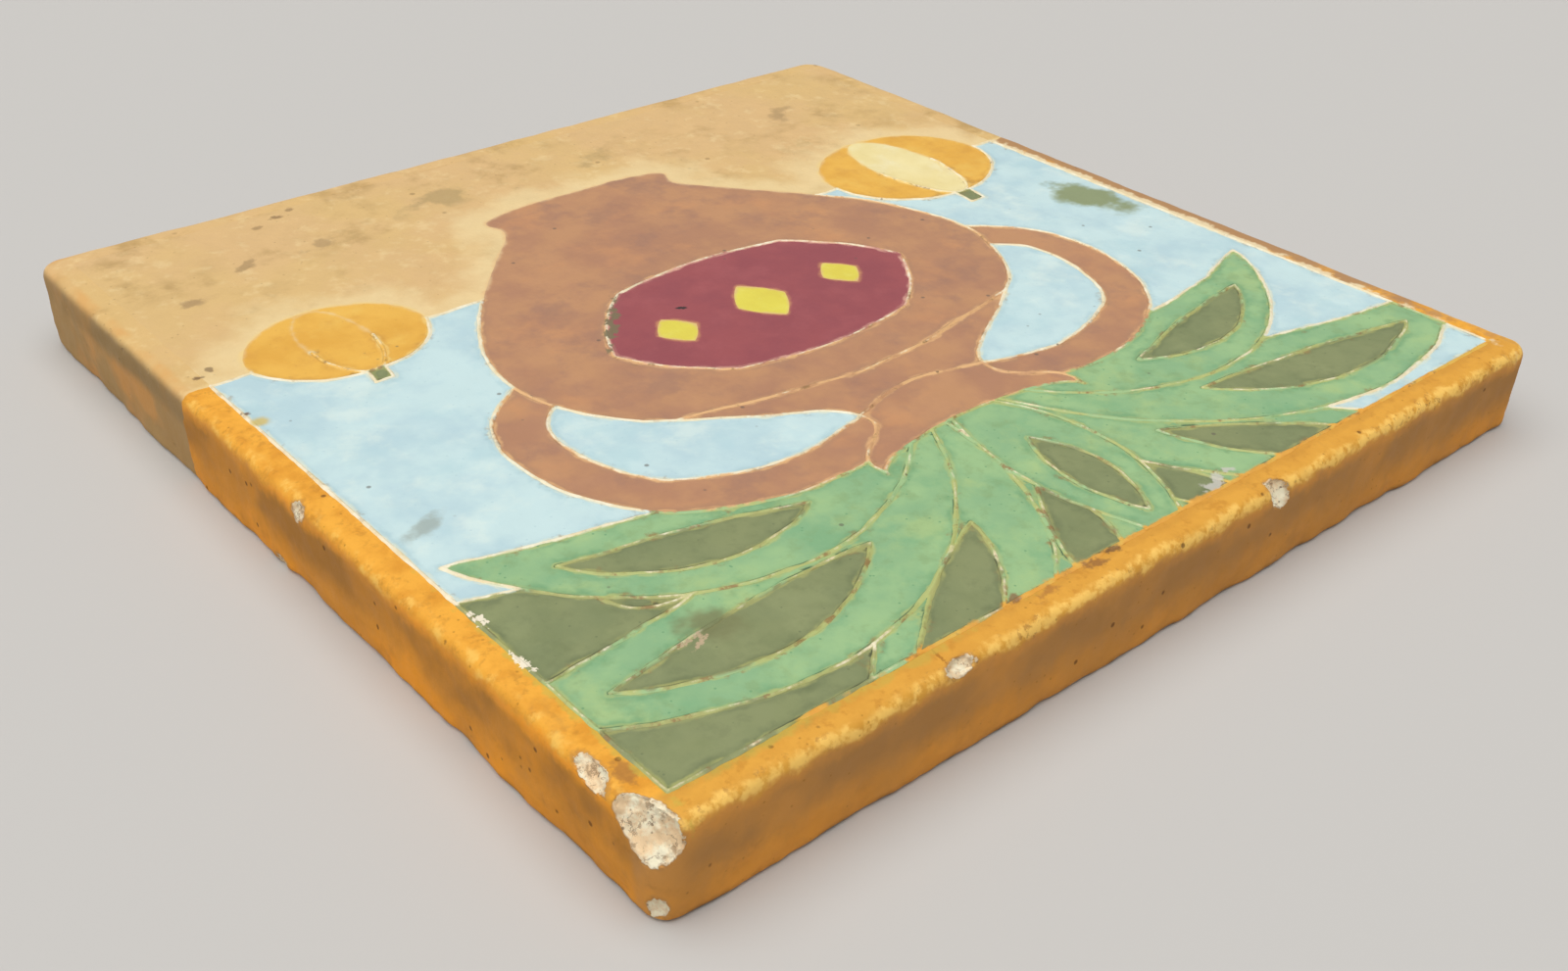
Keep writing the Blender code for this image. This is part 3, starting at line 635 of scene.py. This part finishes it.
def jar_shapes():
    """The jar's handles, its body up to the front lip, and the panel on its belly."""
    route = smooth(HANDLE_ROUTE)
    handle = both_sides(route, np.full(len(route), HANDLE_WIDTH / 2))
    handles = [[edge * (side, 1) for edge in handle] for side in (1, -1)]
    right = smooth(JAR_PROFILE)
    left = (right * (-1, 1))[::-1]
    mouth_half, mouth_height = JAR_PROFILE[-1]
    lip = arc(0, mouth_height, mouth_half, MOUTH_RISE, 0, -180)
    body = [right, lip, left]
    rings = [smooth(NECK_RING), smooth(SHOULDER_RING)]
    sides = [bowed(a, b, PANEL_BOW, 8) for a, b in zip(PANEL_CORNERS, PANEL_CORNERS[1:] + PANEL_CORNERS[:1])]
    return ([("jar", band(edges), edges) for edges in handles]
            + [("jar", np.vstack(body), body + rings), ("panel", np.vstack(sides), sides)])


def lozenge(x, y, x_half, y_half):
    """The outline of a lozenge with slightly bulging sides."""
    tips = ((x - x_half, y), (x, y + y_half), (x + x_half, y), (x, y - y_half), (x - x_half, y))
    return np.vstack([bowed(a, b, LOZENGE_BOW, 8) for a, b in zip(tips, tips[1:])])


def handmade(points):
    """The points moved a little, as a hand strays from a drawn line: in long, short and tiny swings."""
    moved = []
    for x, y in points:
        across = sum(far * noise.noise((x / swing, y / swing, 5.3)) for swing, far in HAND_SWINGS)
        up = sum(far * noise.noise((x / swing, y / swing, 8.7)) for swing, far in HAND_SWINGS)
        moved.append((x + across, y + up))
    return np.array(moved)


def picture_shapes():
    """Every shape of the picture, from the farthest to the nearest: its glaze, its outline and its lines."""
    ground = fine_points(np.array([(-PAST_EDGE, horizon(-PAST_EDGE)), (PAST_EDGE, horizon(PAST_EDGE))]), 1)
    shapes = [("ground", np.vstack((ground, [(PAST_EDGE, -PAST_EDGE), (-PAST_EDGE, -PAST_EDGE)])), [ground])]
    for gourd in GOURDS:
        shapes += gourd_shapes(*gourd)
    shade = smooth(SHADE_EDGE)
    shapes.append(("olive", np.vstack((shade, [(PAST_EDGE, PAST_EDGE)])), [shade]))
    mouth = arc(0, JAR_PROFILE[-1][1], JAR_PROFILE[-1][0], MOUTH_RISE, 0, 360, 48)
    shapes.append(("olive", mouth, [mouth]))
    for leaf in LEAVES:
        shapes += leaf_shapes(*leaf)
    shapes += jar_shapes()
    return [(glaze, handmade(outline), [handmade(stroke) for stroke in strokes])
            for glaze, outline, strokes in shapes]


def inside(points, outline):
    """Which of the points lie within a closed outline."""
    x, y = points.T
    found = np.zeros(len(points), bool)
    for (x1, y1), (x2, y2) in zip(outline, np.roll(outline, -1, axis=0)):
        if y1 != y2:
            found ^= ((y1 > y) != (y2 > y)) & (x < x1 + (x2 - x1) * (y - y1) / (y2 - y1))
    return found


def runs_where(points, wanted):
    """The stretches of the points that are wanted."""
    ends = np.flatnonzero(np.diff(np.r_[0, wanted.astype(int), 0]))
    return [points[a:b] for a, b in zip(ends[::2], ends[1::2]) if b - a > 5]


def picture_runs(shapes):
    """The raised lines, and the unlined edges of what stands on the ground, as far as nothing hides them."""
    edge = FIELD_EDGE
    corners = np.array([(-edge, horizon(-edge)), (-edge, edge), (edge, edge), (edge, horizon(edge))])
    lines = [fine_points(corners[i:i + 2]) for i in range(3)]
    meetings = []
    for i, (_, _, strokes) in enumerate(shapes):
        for stroke in strokes:
            points = fine_points(np.asarray(stroke))
            shown = np.abs(points).max(axis=1) < FIELD_EDGE
            for _, outline, _ in shapes[i + 1:]:
                shown &= ~inside(points, outline)
            lined = (points[:, 1] > horizon(points[:, 0]) - 0.3) | (i == 0)
            lines += runs_where(points, shown & lined)
            meetings += runs_where(points, shown & ~lined)
    return lines, meetings + [fine_points(lozenge(*sizes)) for sizes in LOZENGES]


def nearness(runs):
    """A way to look up the nearest of the runs' points."""
    points = np.vstack(runs)
    tree = KDTree(len(points))
    for i, (x, y) in enumerate(points):
        tree.insert((x, y, 0), i)
    tree.balance()
    return tree


def half_width(x, y):
    """Half the width of the raised line at a place, in metres."""
    broad = 0.4 * noise.noise((x * 240, y * 240, 3))
    fine = 0.4 * noise.noise((x * 800, y * 800, 4))
    return LINE_HALF_WIDTH * (1 + broad + fine)


def divide_picture():
    """Divides the field into small triangles that follow the lines and the edges of the glazes.

    Gives the corners, with their distance to the nearest line, how much they lie below it and their
    distance to the nearest unlined edge, and for each triangle its corners, its middle and its glaze.
    """
    shapes = picture_shapes()
    lines, meetings = [[run * PICTURE_UNIT for run in runs] for runs in picture_runs(shapes)]
    line_tree = nearness(lines)
    meeting_tree = nearness(meetings)
    corners = []
    edges = []

    def add_path(path, closed=False):
        first = len(corners)
        corners.extend(map(tuple, path))
        edges.extend((first + i, first + i + 1) for i in range(len(path) - 1))
        if closed:
            edges.append((first + len(path) - 1, first))

    stride = round(LINE_STEP / (STROKE_STEP * PICTURE_UNIT))
    for run in lines:
        path = np.vstack((run[:-1:stride], run[-1:]))
        widths = [half_width(x, y) for x, y in path]
        add_path(path)
        for side in both_sides(path, widths):
            add_path(side)
        for end, width in ((path[0], widths[0]), (path[-1], widths[-1])):
            add_path(arc(*end, width, width, 0, 324, 9), closed=True)
    for run in meetings:
        add_path(np.vstack((run[:-1:stride], run[-1:])))
    for reach in (FIELD_HALF, FIELD_HALF + RIM_STRIP):
        square = np.array([(-1, -1), (1, -1), (1, 1), (-1, 1), (-1, -1)]) * reach
        add_path(fine_points(square, BORDER_STEP)[:-1], closed=True)
    count = round(FIELD_HALF * 2 / GRID_STEP)
    for i in range(1, count):
        for j in range(1, count):
            x = FIELD_HALF * (2 * (i + 0.5 * (j % 2)) / count - 1)
            y = FIELD_HALF * (2 * j / count - 1)
            gap = line_tree.find((x, y, 0))[2]
            meeting = meeting_tree.find((x, y, 0))[2]
            border = FIELD_HALF - max(abs(x), abs(y))
            fine = min(gap, meeting) < FINE_REACH or (i % 2 == 0 and j % 2 == 0)
            clear = gap > LINE_HALF_WIDTH + GRID_CLEARANCE and min(meeting, border) > GRID_CLEARANCE
            if fine and clear:
                corners.append((x, y))
    points, _, triangles, _, _, _ = delaunay_2d_cdt([Vector(c) for c in corners], edges, [], 0, 1e-8)
    points = np.array(points)
    triangles = np.array(triangles)
    middles = points[triangles].mean(axis=1)
    glazes = np.full(len(triangles), "sky", dtype="U12")
    for glaze, outline, _ in shapes:
        glazes[inside(middles / PICTURE_UNIT, outline)] = glaze
    for sizes in LOZENGES:
        glazes[inside(middles / PICTURE_UNIT, lozenge(*sizes))] = "lozenge"
    glazes[(glazes == "sky") & (middles > SHADED_CORNER).all(axis=1)] = "olive"
    beyond = np.abs(middles).max(axis=1) > FIELD_HALF
    low = middles[:, 1] < horizon(middles[:, 0] / PICTURE_UNIT) * PICTURE_UNIT
    glazes[beyond] = np.where(low, "ground_rim", "rim")[beyond]
    for i, (x, y) in enumerate(middles):
        near, _, gap = line_tree.find((x, y, 0))
        if gap < half_width(near.x, near.y):
            glazes[i] = "line"
    gaps = []
    for x, y in points:
        near, _, gap = line_tree.find((x, y, 0))
        below = (0.4 * (x - near.x) + 0.9 * (near.y - y)) / max(gap, 0.00001)
        gaps.append((gap, below, meeting_tree.find((x, y, 0))[2]))
    return points, gaps, triangles, middles, glazes


corners, corner_gaps, triangles, triangle_middles, triangle_glazes = divide_picture()


def amber_creeps(x, y):
    """Whether the rim's amber glaze has crept over the border line at this place."""
    return y > FIELD_HALF - AMBER_CREEP_DEPTH and noise.noise((x * 120, 0, 6)) > 30 * (x - 0.04)


def make_glazed(glaze):
    """The solid of one glaze, or of the lines, from the bed up, which holds the colours beside it too."""
    faces = triangles[triangle_glazes == glaze]
    used, places = np.unique(faces, return_inverse=True)
    others = np.flatnonzero((triangle_glazes != glaze) & (triangle_glazes != "line"))
    beside = KDTree(len(others))
    for i in others:
        beside.insert((*triangle_middles[i], 0), i)
    beside.balance()
    shape = bmesh.new()
    line_gap = shape.verts.layers.float.new("line_gap")
    below_line = shape.verts.layers.float.new("below_line")
    meeting_gap = shape.verts.layers.float.new("meeting_gap")
    bareness = shape.verts.layers.float.new("bareness")
    full_glaze = shape.verts.layers.float_color.new("full_glaze")
    thin_glaze = shape.verts.layers.float_color.new("thin_glaze")
    verts = []
    for i in used:
        vert = shape.verts.new((*corners[i], BED_HEIGHT - BED_OVERLAP))
        vert[line_gap], vert[below_line], vert[meeting_gap] = corner_gaps[i]
        near = sorted(beside.find_range((*corners[i], 0), BESIDE_REACH), key=lambda found: found[2])
        near = near or [beside.find((*corners[i], 0))]
        kinds = [triangle_glazes[k].replace("ground_rim", "ground") for _, k, _ in near]
        if glaze == "line":
            amber = amber_creeps(*corners[i])
            kinds = [kind for kind in kinds if (kind == "rim") == amber] or kinds
        full, _, _, thinned, _ = GLAZES[kinds[0]]
        vert[full_glaze] = (*full, 1)
        vert[thin_glaze] = (*thinned, 1)
        vert[bareness] = sum(GLAZES[kind][-1] for kind in kinds) / len(kinds)
        verts.append(vert)
    for a, b, c in places.reshape(-1, 3):
        shape.faces.new((verts[c], verts[b], verts[a]))
    raised = bmesh.ops.extrude_face_region(shape, geom=shape.faces[:], use_keep_orig=True)["geom"]
    for vert in raised:
        if isinstance(vert, bmesh.types.BMVert):
            vert.co.z = glaze_height(vert.co.x, vert.co.y)
            if glaze == "line":
                part = vert[line_gap] / half_width(vert.co.x, vert.co.y)
                vert.co.z += LINE_RISE * max(0, 1 - part ** 2)
    bmesh.ops.recalc_face_normals(shape, faces=shape.faces)
    shape.verts.index_update()
    count = len(shape.verts)

    def turn(face):
        """A face's turn in an order that is the same in each run."""
        a, b, c = sorted(vert.index for vert in face.verts)[:3]
        return (a * count + b) * count + c

    shape.faces.sort(key=turn)
    return shape


def line_material():
    """Cream clay, with thin glaze on its flanks and over much of its crest, and rusty dirt."""
    mix = Mix("cream_clay", 0.55)
    bare = mix.measured("bareness")
    clay = mix.blend(mix.rise(mix.cloud(0.002, 20), 0.3, 0.7), (0.86, 0.72, 0.44), (0.96, 0.90, 0.70))
    fine = mix.times(mix.cloud(0.0016, 21, 5, 0.7), 0.45)
    broad = mix.times(mix.cloud(0.005, 22), 0.55)
    flank = mix.rise(mix.measured("line_gap"), 0.00008, 0.0003, 0, 0.12)
    cover = mix.join("SUBTRACT", mix.plus(fine, broad, flank), bare)
    drowned = mix.times(mix.rise(mix.cloud(0.006, 41, 4), 0.46, 0.58), mix.rise(bare, 0.47, 0.6, 0.9, 0))
    glaze = mix.blend(drowned, mix.measured("thin_glaze", "Color"), mix.measured("full_glaze", "Color"))
    colour = mix.blend(mix.rise(cover, -0.07, 0.08), clay, glaze)
    rust = mix.rise(mix.cloud(0.0026, 23, 5, 0.7), 0.54, 0.66)
    rust = mix.times(rust, mix.rise(bare, 0.45, 0.6, 0.85, 0.3))
    colour = mix.blend(rust, colour, (0.30, 0.17, 0.06))
    colour = mix.spotted(colour, 0.0026, 0.0003, 0.4, 5, strength=0.7, shade=(0.10, 0.06, 0.03))
    mix.give("Base Color", marked(mix, colour, "line"))
    mix.bump(mix.cloud(0.0005, 22), 0.4)
    return mix.material


new_piece("raised_lines", make_glazed("line"), line_material())

# The glazes. Each colour was run into its own cells between the raised lines and fired to a satin
# skin, thicker and darker at the foot of the lines and clouded elsewhere; painted shade also lies
# along the foot of each line, mostly on its lower side.


def glaze_material(glaze, name, seed, patches, roughness=0.42, crease=0.5, rusty=0.5, speckled=0.4):
    """A glaze with patches of other shades, pooled beside the lines, with painted shade at the foot of each
    line, and blended at unlined edges.
    """
    light, dark, pooled, thinned, _ = GLAZES[glaze]
    mix = Mix(name, roughness)
    colour = mix.blend(mix.rise(mix.cloud(0.01, seed, 4, 0.6), 0.38, 0.64), light, dark)
    for number, (shade, size, strength) in enumerate(patches):
        patch = mix.rise(mix.cloud(size, seed + 10 + number, 5, 0.62), 0.5, 0.68, 0, strength)
        colour = mix.blend(patch, colour, shade)
    wander = mix.stray(0.0005, 0.0022, seed + 2)
    line_gap = mix.measured("line_gap")
    gap = mix.plus(line_gap, wander)
    pooling = mix.rise(mix.cloud(0.0055, seed + 5), 0.42, 0.6, 0.1, 0.65)
    pool = mix.times(mix.rise(gap, 0.0003, 0.0016, 1, 0), pooling)
    colour = mix.blend(pool, colour, pooled)
    thinning = mix.rise(mix.cloud(0.004, seed + 7, 4), 0.4, 0.62, 0.15, 0.75)
    verge = mix.rise(mix.plus(gap, mix.times(wander, -0.5)), 0.0003, 0.0007, 1, 0)
    colour = mix.blend(mix.times(verge, thinning), colour, thinned)
    # Painted shade at the foot of each line, strongest on its lower side; crease sets how dark.
    foot = mix.times(mix.rise(line_gap, 0.00025, 0.0005, 1, 0),
                     mix.rise(mix.measured("below_line"), -0.2, 0.5, 0.1, 1),
                     mix.rise(mix.cloud(0.0036, seed + 6, 4), 0.43, 0.56, 0, crease))
    colour = mix.blend(foot, colour, tuple(part * 0.4 for part in pooled))
    rust = mix.rise(mix.cloud(0.0028, 23, 5, 0.7), 0.55, 0.68, 0, rusty)
    rust = mix.times(rust, mix.rise(gap, 0.0003, 0.0011, 1, 0))
    colour = mix.blend(rust, colour, (0.30, 0.17, 0.06))
    meeting = mix.plus(mix.measured("meeting_gap"), mix.times(wander, 0.5))
    meeting = mix.rise(meeting, -0.0003, 0.0006, 0.6, 0)
    colour = mix.blend(meeting, colour, mix.measured("thin_glaze", "Color"))
    colour = mix.spotted(colour, 0.004, 0.0004, 0.25, seed, strength=0.65, shade=(0.12, 0.10, 0.08))
    colour = mix.spotted(colour, 0.0012, 0.0002, 0.35, seed + 1, strength=speckled, shade=pooled)
    mix.give("Base Color", marked(mix, colour, glaze))
    satin = mix.rise(mix.cloud(0.003, seed + 3), 0.3, 0.7, roughness - 0.08, roughness + 0.1)
    mix.give("Roughness", satin)
    meniscus = mix.rise(line_gap, 0.0003, 0.001, 1, 0)
    relief = mix.plus(mix.cloud(0.0014, seed + 4), meniscus)
    mix.bump(relief, 0.5, 0.00008)
    return mix.material


def lay_glaze(glaze, name, *looks, **more_looks):
    """The piece of one glaze."""
    new_piece(name, make_glazed(glaze), glaze_material(glaze, name, *looks, **more_looks))


lay_glaze("sky", "pale_blue_glaze", 30, (((0.76, 0.89, 0.84), 0.008, 0.55), ((0.46, 0.68, 0.74), 0.009, 0.5)),
          crease=0.3)
lay_glaze("leaf", "green_glaze", 43, (((0.46, 0.60, 0.24), 0.007, 0.5), ((0.18, 0.42, 0.22), 0.006, 0.45),
                                      ((0.23, 0.36, 0.15), 0.0024, 0.4)),
          crease=1, rusty=0.75, speckled=0.75)
lay_glaze("olive", "olive_glaze", 56, (((0.32, 0.36, 0.17), 0.008, 0.4), ((0.19, 0.23, 0.10), 0.005, 0.3),
                                       ((0.16, 0.19, 0.085), 0.002, 0.3)),
          crease=0.9, rusty=0.6, speckled=0.6)
lay_glaze("jar", "brown_glaze", 69, (((0.64, 0.31, 0.14), 0.013, 0.6), ((0.36, 0.19, 0.135), 0.008, 0.6)))
lay_glaze("panel", "crimson_glaze", 82, (((0.42, 0.11, 0.12), 0.006, 0.4),),
          crease=0.2, rusty=0.1, speckled=0.25)
lay_glaze("lozenge", "yellow_glaze", 95, (((0.84, 0.78, 0.16), 0.003, 0.5),), crease=0, rusty=0)
lay_glaze("gourd", "amber_glaze", 108, (((0.90, 0.58, 0.12), 0.006, 0.5), ((0.68, 0.33, 0.05), 0.005, 0.4)))
lay_glaze("pale", "pale_yellow_glaze", 121, (((0.94, 0.86, 0.56), 0.005, 0.5),), crease=0.3)

# The ground. The same sand-coloured glaze as on the slab's lower rim runs on over the face, with no
# raised line between the two.


def ground_material():
    """Sand-coloured glaze."""
    mix = Mix("sand_glaze", 0.42)
    colour = sand_colour(mix)
    nearest = mix.join("MINIMUM", mix.measured("meeting_gap"), mix.measured("line_gap"))
    wander = mix.stray(0.003, 0.007, 19, 4, low=0.25)
    halo = mix.rise(mix.plus(nearest, wander), 0.0005, 0.008, 0.7, 0)
    colour = mix.blend(halo, colour, (0.90, 0.71, 0.38))
    colour = marked(mix, colour, "sand")
    wander = mix.stray(0.0003, 0.0022, 24)
    meeting = mix.rise(mix.plus(mix.measured("meeting_gap"), wander), -0.0003, 0.0007, 0.6, 0)
    mix.give("Base Color", mix.blend(meeting, colour, mix.measured("thin_glaze", "Color")))
    satin = mix.rise(mix.cloud(0.0028, 14), 0.3, 0.7, 0.36, 0.58)
    mix.give("Roughness", satin)
    mix.give("Specular IOR Level", 0.4)
    grain = mix.plus(mix.cloud(0.0006, 15), mix.cloud(0.0021, 16, 2))
    mix.bump(grain, 0.4, 0.00014)
    return mix.material


new_piece("sand_glaze_ground", make_glazed("ground"), ground_material())

# The studio: a plain pale floor that the tile lies on, with a pale backdrop far round it, soft light
# from above, and a camera where the photograph was taken from.

FLOOR_HALF_WIDTH = 30
BACKDROP_RADIUS = 8
BACKDROP_HEIGHT = 16

floor_shape = bmesh.new()
bmesh.ops.create_grid(floor_shape, x_segments=1, y_segments=1, size=FLOOR_HALF_WIDTH)
floor_mix = Mix("pale_floor", 0.8)
floor_mix.give("Base Color", (0.58, 0.57, 0.555))
floor = new_object("floor", floor_shape, floor_mix.material)

wall_shape = bmesh.new()
bmesh.ops.create_cone(wall_shape, cap_ends=False, segments=96, radius1=BACKDROP_RADIUS,
                      radius2=BACKDROP_RADIUS, depth=BACKDROP_HEIGHT)
wall_mix = Mix("pale_backdrop", 1)
wall_mix.give("Base Color", (0, 0, 0))
wall_mix.give("Specular IOR Level", 0)
wall_mix.give("Emission Color", (0.64, 0.63, 0.61))
wall_mix.give("Emission Strength", 1)
backdrop = new_object("backdrop", wall_shape, wall_mix.material)
backdrop.visible_shadow = False
backdrop.visible_diffuse = False
backdrop.visible_glossy = False

sky_light = bpy.data.lights.new("overhead_light", "SUN")
sky_light.energy = 2.6
sky_light.angle = math.radians(80)
sky_light.color = (1, 0.98, 0.95)
overhead = bpy.data.objects.new("overhead_light", sky_light)
overhead.rotation_euler = Vector((0.22, 0.02, 1)).to_track_quat("Z", "Y").to_euler()
bpy.context.scene.collection.objects.link(overhead)

world = bpy.data.worlds.new("soft_light")
world.use_nodes = True
world.node_tree.nodes["Background"].inputs["Color"].default_value = (1, 1, 1, 1)
world.node_tree.nodes["Background"].inputs["Strength"].default_value = 0.25
bpy.context.scene.world = world
bpy.context.scene.view_settings.view_transform = "Standard"

CAMERA_RIGHT = (-0.76042351, 0.64908075, 0.0212192)
CAMERA_UP = (-0.33670661, -0.42198307, 0.84175944)
CAMERA_BACK = (0.55532399, 0.63294902, 0.53943563)
camera_data = bpy.data.cameras.new("camera")
camera_data.lens = 38.599
camera_data.sensor_width = 36
camera_data.clip_start = 0.01
camera = bpy.data.objects.new("camera", camera_data)
turn = Matrix((CAMERA_RIGHT, CAMERA_UP, CAMERA_BACK)).transposed().to_4x4()
camera.matrix_world = Matrix.Translation((0.139997, 0.164717, 0.120206)) @ turn
bpy.context.scene.collection.objects.link(camera)
bpy.context.scene.camera = camera
